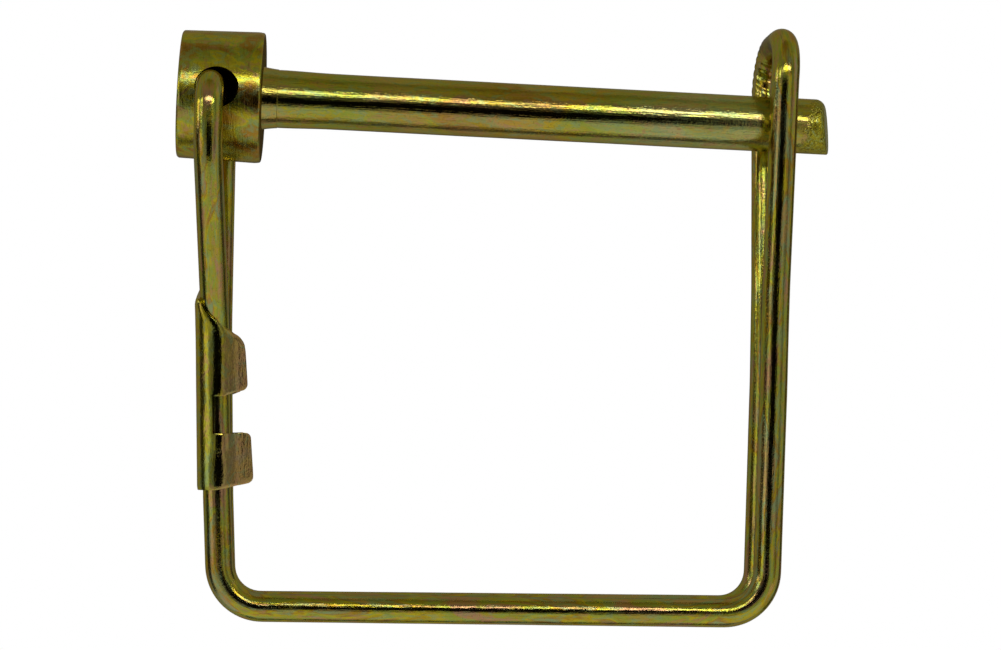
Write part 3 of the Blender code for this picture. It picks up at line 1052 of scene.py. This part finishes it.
def sheared_face(name):
    """Cropped bar end: torn diagonal ridges, duller where the blade dragged the metal."""
    material, tree, shader = new_metal(name)
    tears, blots = tear_pattern(tree, place_of(tree, "row"))
    tree.put(shader.inputs["Base Color"], torn_film(tree, tears, blots))
    tree.put(shader.inputs["Roughness"], tree.span(tears, 0.3, 0.7, 0.42, 0.2))
    height = tree.math("ADD", tears, tree.math("MULTIPLY", blots, 0.35))
    tree.put(shader.inputs["Normal"], tree.bumped(height, TEAR_BUMP))
    return material


def drilled_wall(name):
    """Inside of the cross hole: dull, with drilling rings, and coloured dark as painted shade in the hole."""
    material, tree, shader = new_metal(name)
    place = place_of(tree, "row")
    rings = tree.noise(tree.scaled(place, (0.6, 7.0, 0.6)), 1.0, 3.0, 0.6)
    blots = tree.noise(place, 0.7, 3.0, 0.6)
    # The dark blotched colour is painted shade inside the cross hole.
    tree.put(shader.inputs["Base Color"], tree.ramp(blots, [(0.35, HOLE_PAINTED_SHADE_DARK), (0.65, HOLE_PAINTED_SHADE_LIGHTER)]))
    tree.put(shader.inputs["Roughness"], tree.span(rings, 0.3, 0.7, 0.30, 0.5))
    tree.put(shader.inputs["Normal"], tree.bumped(rings, DRILL_BUMP))
    return material


# ---------------- studio


def grey(level, warm=0.0):
    return (level, level * (1.0 - 0.06 * warm), level * (1.0 - 0.85 * warm))


def soft_sides(wide, tall, soft_across, soft_up):
    """The four sides of a window that fades outwards: left, right, bottom and top."""
    left = (wide[0] - soft_across, wide[0])
    right = (wide[1], wide[1] + soft_across)
    bottom = (tall[0] - soft_up, tall[0])
    top = (tall[1], tall[1] + soft_up)
    return left, right, bottom, top


# Panels seen in the world: (degrees round from the front, degrees up, level, softness in degrees).
PANELS = (
    ((-99.0, -77.0), (-34.0, 3.0), 0.03, 7.0),
    ((-92.0, -80.0), (6.0, 13.0), 2.2, 3.0),
    ((66.0, 96.0), (-36.0, 40.0), 0.34, 7.0),
    ((106.0, 124.0), (-36.0, 20.0), 0.05, 7.0),
)


def make_world():
    """White to the camera; what the metal mirrors above, below and behind is a dim studio."""
    world = bpy.data.worlds.new("studio")
    bpy.context.scene.world = world
    world.use_nodes = True
    tree = Tree(world.node_tree)
    background = world.node_tree.nodes["Background"]
    parts = tree.parts(tree.add("ShaderNodeTexCoord", {}, "Generated"))
    toward = tree.math("MULTIPLY", parts[1], -1.0)
    round_deg = tree.math("MULTIPLY", tree.math("ARCTAN2", parts[0], toward), math.degrees(1.0))
    up_deg = tree.math("MULTIPLY", tree.math("ARCSINE", parts[2]), math.degrees(1.0))
    front = tree.scale_ramp(up_deg, -90.0, 90.0, [
        (-88.0, grey(0.42)), (-80.0, grey(0.52)), (-66.0, grey(0.56)), (-45.0, grey(0.46)),
        (0.0, grey(0.22)), (40.0, grey(0.22, 0.3)), (55.0, grey(0.24, 0.6)), (88.0, grey(0.13, 0.7)),
    ])
    back = tree.scale_ramp(up_deg, -90.0, 90.0, [
        (-85.0, grey(0.42)), (-79.0, grey(0.04)), (-72.0, grey(0.04)), (-66.0, grey(0.34)),
        (-5.0, grey(0.24, 0.1)), (40.0, grey(0.26, 0.2)), (88.0, grey(0.25, 0.4)),
    ])
    light = tree.mix(tree.span(parts[1], -0.04, 0.05), front, back)
    for wide, tall, level, soft in PANELS:
        inside = tree.window(round_deg, up_deg, *soft_sides(wide, tall, soft, soft))
        light = tree.mix(inside, light, grey(level))
    # Straight behind the object the studio is darker.
    light = tree.mix(tree.span(parts[1], 0.93, 0.985), light, grey(0.09))
    sees = tree.add("ShaderNodeLightPath", {}, "Is Camera Ray")
    tree.put(background.inputs["Color"], tree.mix(sees, light, (1.0, 1.0, 1.0)))
    background.inputs["Strength"].default_value = 1.0


def upright_sheet(name, y, wide, tall):
    """An upright sheet across the studio that the camera doesn't see, and its empty shader tree."""
    material = bpy.data.materials.new(name)
    material.use_nodes = True
    material.node_tree.nodes.clear()
    shape = bmesh.new()
    corners = [(wide[0], tall[0]), (wide[1], tall[0]), (wide[1], tall[1]), (wide[0], tall[1])]
    shape.faces.new([shape.verts.new((x, y, z)) for x, z in corners])
    sheet = mesh_object(name, shape, [material])
    sheet.visible_camera = False
    return sheet, Tree(material.node_tree)


# Windows and cards on the wall: (millimetres across, millimetres up, level, softness across and up).
WALL_WINDOWS = (
    ((140.0, 330.0), (-150.0, 60.0), 0.36, (30.0, 16.0)),
    ((380.0, 600.0), (-150.0, 40.0), 0.16, (30.0, 16.0)),
    ((-600.0, -290.0), (-170.0, -16.0), 0.72, (60.0, 20.0)),
    ((-500.0, -340.0), (75.0, 170.0), 2.6, (40.0, 20.0)),
)


def make_light_wall():
    """Studio side facing the object: windows on the left and paler cards on the right.

    It stands as far away as the camera, so each part of the object mirrors it from its own place.
    """
    wall, tree = upright_sheet("light_wall", WALL_Y, (-0.75, 0.65), (-0.40, 0.35))
    parts = tree.parts(place_of(tree, "row"))
    across, height = parts[0], parts[2]
    light = tree.scale_ramp(height, -400.0, 350.0, [
        (-395.0, grey(0.38)), (-230.0, grey(0.34)), (-140.0, grey(0.32)), (-98.0, grey(0.22)),
        (-50.0, grey(0.18)), (20.0, grey(0.20)), (80.0, grey(0.16)), (150.0, grey(0.16)),
        (340.0, grey(0.22, 0.3)),
    ])
    for wide, tall, level, soft in WALL_WINDOWS:
        inside = tree.window(across, height, *soft_sides(wide, tall, *soft))
        light = tree.mix(inside, light, grey(level))
    tree.finish(tree.glow(light))


# The camera's two dark shapes, in millimetres on the cards: left, right, bottom and top side.
DARK_LENS = ((-46.0, -30.0), (74.0, 88.0), (-96.0, -86.0), (8.0, 16.0))
DARK_BODY = ((60.0, 66.0), (98.0, 110.0), (-68.0, -58.0), (8.0, 16.0))


def make_near_cards():
    """Halfway to the camera: the dark lens and body, and below them the bright near edge of the table."""
    cards, tree = upright_sheet("near_cards", CARD_Y, (-0.35, 0.45), (-0.42, 0.04))
    parts = tree.parts(place_of(tree, "row"))
    lens = tree.window(parts[0], parts[2], *DARK_LENS)
    body = tree.window(parts[0], parts[2], *DARK_BODY)
    table = tree.span(parts[2], -124.0, -104.0, 1.0, 0.0)
    covered = tree.math("MAXIMUM", tree.math("MAXIMUM", lens, body), table)
    clear = tree.add("ShaderNodeBsdfTransparent", {})
    light = tree.glow(tree.mix(table, grey(0.002), grey(0.50)))
    tree.finish(tree.add("ShaderNodeMixShader", {0: covered, 1: clear, 2: light}))


def key_light(name, across, width, radiance, colour):
    """A wide lamp just in front of the wall, higher than the object, that shines along +Y."""
    data = bpy.data.lights.new(name, "AREA")
    data.shape = "RECTANGLE"
    data.size = width
    data.size_y = LAMP_TALL
    data.energy = radiance * math.pi * width * LAMP_TALL
    data.color = colour
    lamp = bpy.data.objects.new(name, data)
    bpy.context.scene.collection.objects.link(lamp)
    lamp.location = (across, LAMP_Y, LAMP_Z)
    lamp.rotation_mode = "QUATERNION"
    lamp.rotation_quaternion = Vector((0.0, -LAMP_Y, 0.0)).to_track_quat("-Z", "Y")
    lamp.visible_camera = False


def make_floor():
    """Pale floor under the object, with a little light of its own so that it stays even."""
    material, tree, shader = new_material("pale_floor")
    mottle = tree.noise(place_of(tree, "row"), 0.03, 3.0, 0.5)
    paint = tree.ramp(mottle, [(0.3, (0.80, 0.80, 0.79)), (0.7, (0.84, 0.84, 0.83))])
    tree.put(shader.inputs["Base Color"], paint)
    shader.inputs["Roughness"].default_value = 0.9
    shader.inputs["Emission Color"].default_value = (1.0, 1.0, 1.0, 1.0)
    shader.inputs["Emission Strength"].default_value = 0.62
    shape = bmesh.new()
    bmesh.ops.create_circle(shape, cap_ends=True, segments=96, radius=FLOOR_R)
    floor = mesh_object("floor", shape, [material])
    low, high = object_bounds()
    floor.location = ((low.x + high.x) / 2, 0.0, low.z - FLOOR_DROP)
    floor.visible_glossy = False


def make_camera():
    """The camera looks a little up and to the right, and is rolled a little."""
    data = bpy.data.cameras.new("camera")
    data.sensor_fit = "HORIZONTAL"
    data.sensor_width = CAMERA_SENSOR
    data.lens = CAMERA_LENS
    data.clip_start = 0.01
    data.clip_end = 20.0
    camera = bpy.data.objects.new("camera", data)
    bpy.context.scene.collection.objects.link(camera)
    yaw = Matrix.Rotation(math.radians(-CAMERA_YAW_DEG), 4, "Z")
    pitch = Matrix.Rotation(math.radians(90.0 + CAMERA_PITCH_DEG), 4, "X")
    roll = Matrix.Rotation(math.radians(CAMERA_ROLL_DEG), 4, "Z")
    camera.matrix_world = Matrix.Translation(CAMERA_PLACE) @ yaw @ pitch @ roll
    bpy.context.scene.camera = camera


# ---------------- the whole object


def shank_plating():
    return plating(
        "pin_plating_visual", "row", (0.35, 7.0, 7.0), (0.09, 0.24, 0.24), (3.0, 1.0, 0.0),
        [(0.38, BRONZE), (0.44, OLIVE), (0.49, GREEN), (0.53, YELLOW), (0.57, TEAL), (0.63, ROSE)],
        drift=(0, 0.0, 80.0, [
            (0.01, TAN), (0.05, OLIVE), (0.14, GREEN), (0.22, TAN), (0.32, OLIVE), (0.40, BRONZE),
            (0.47, TAN), (0.52, GOLD), (0.57, GREEN), (0.84, PALE), (0.95, OLIVE),
        ]),
        gloss=(0.06, 0.15), mottle=0.35, torn=True,
    )


def head_plating():
    return plating(
        "head_plating_visual", "row", (7.0, 0.5, 0.5), (0.13, 0.17, 0.17), (2.0, 6.0, 1.0),
        [(0.38, BRONZE), (0.45, OLIVE), (0.50, YELLOW), (0.54, GREEN), (0.60, BRONZE)],
        gloss=(0.17, 0.28), mottle=0.12,
    )


def wire_plating():
    return plating(
        "bail_plating_visual", "wire", (6.5, 6.5, 0.4), (0.30, 0.30, 0.075), (1.7, 0.4, 5.0),
        [
            (0.38, ROSE), (0.43, OLIVE), (0.47, GREEN), (0.51, YELLOW),
            (0.55, BRONZE), (0.60, TEAL), (0.65, TAN),
        ],
    )


def clip_plating():
    return plating(
        "clip_plating_visual", "row", (5.5, 5.5, 0.8), (0.20, 0.20, 0.12), (7.0, 2.0, 1.0),
        [(0.38, TAN), (0.45, OLIVE), (0.50, YELLOW), (0.54, TEAL), (0.60, GREEN)],
        drift=(0, -6.5, -1.0, [(0.05, YELLOW), (0.30, GREEN), (0.48, OLIVE), (0.60, TAN), (0.95, ROSE)]),
        gloss=(0.07, 0.16), mottle=0.2,
    )


def main():
    turned = turned_face("turned_face_visual")
    sheared = sheared_face("sheared_face_visual")
    drilled = drilled_wall("hole_wall_painted_shade_visual")
    make_pin(shank_plating(), turned, sheared, head_plating(), drilled)
    make_wire(wire_plating(), sheared)
    make_clip(clip_plating())
    make_camera()
    make_floor()
    make_world()
    make_light_wall()
    make_near_cards()
    key_light("key_left", -0.026, 0.216, 3.3, (1.0, 1.0, 0.95))
    key_light("key_right", 0.162, 0.156, 5.0, (1.0, 1.0, 0.97))
    bpy.context.scene.view_settings.view_transform = "Standard"


main()
